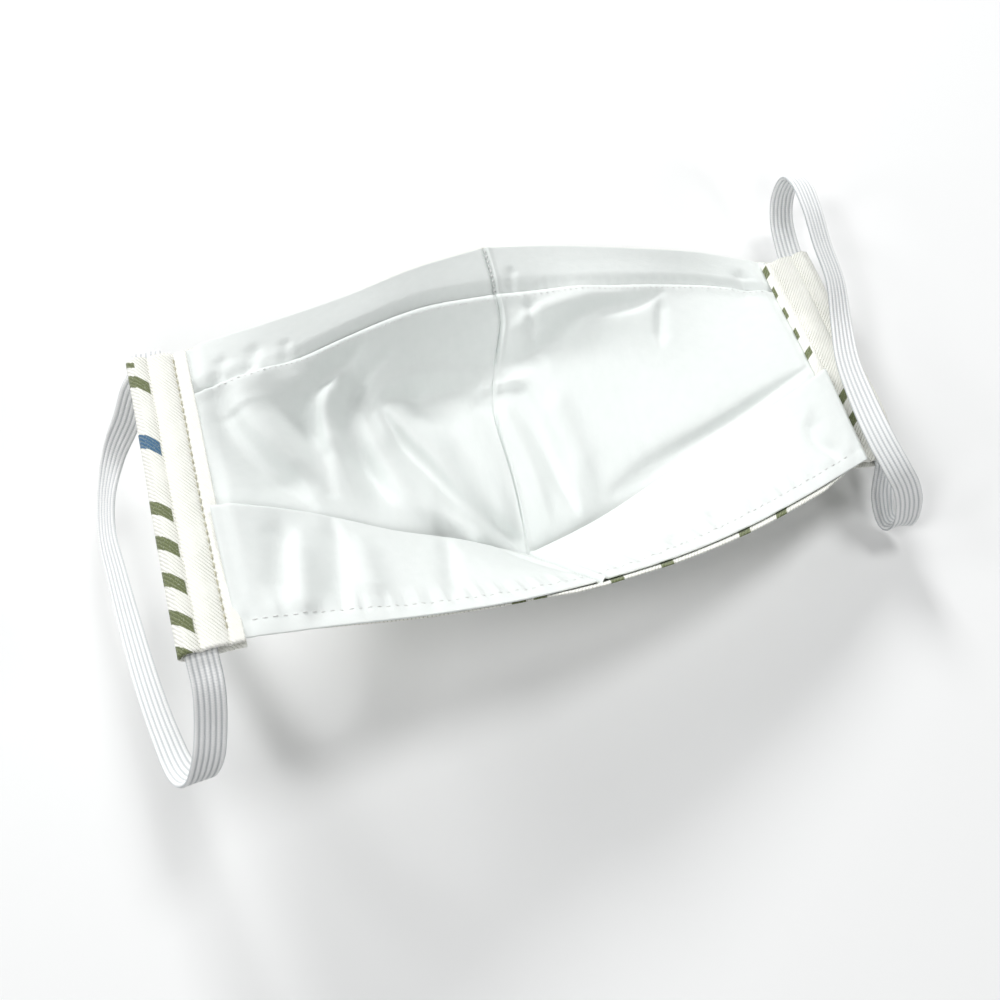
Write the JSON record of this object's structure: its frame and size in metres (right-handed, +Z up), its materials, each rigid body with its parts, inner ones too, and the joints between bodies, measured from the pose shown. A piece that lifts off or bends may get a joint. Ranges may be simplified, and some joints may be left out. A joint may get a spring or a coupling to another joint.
{
  "type": "cloth face mask",
  "caption": "Sewn cloth face mask lying on its printed outside with the lined hollow up: centre-seamed panels, folded chin panel, side casings and flat elastic ear loops.",
  "frame": {"origin": "middle of the mask's footprint, on the surface that it lies on", "axes": "+X across the face from the raised end to the end that lies low, +Y towards the nose edge, +Z up, out of the hollow"},
  "size_m": [0.1946, 0.1138, 0.0585],
  "materials": {
    "printed_twill": "matte off-white twill with a sparse print of slanted olive and blue bars",
    "white_lining": "smooth matte white plain weave",
    "elastic": "white braided elastic with lengthwise ribs"
  },
  "bodies": {
    "root": {"outer_shell_left": "printed_twill", "outer_shell_right": "printed_twill", "nose_band_left": "white_lining", "nose_band_right": "white_lining", "cheek_lining_left": "white_lining", "cheek_lining_right": "white_lining", "chin_panel_left": "white_lining", "chin_panel_right": "white_lining", "casing_left": "printed_twill", "casing_right": "printed_twill", "ear_loop_left": "elastic", "ear_loop_right": "elastic"}
  },
  "joints": []
}
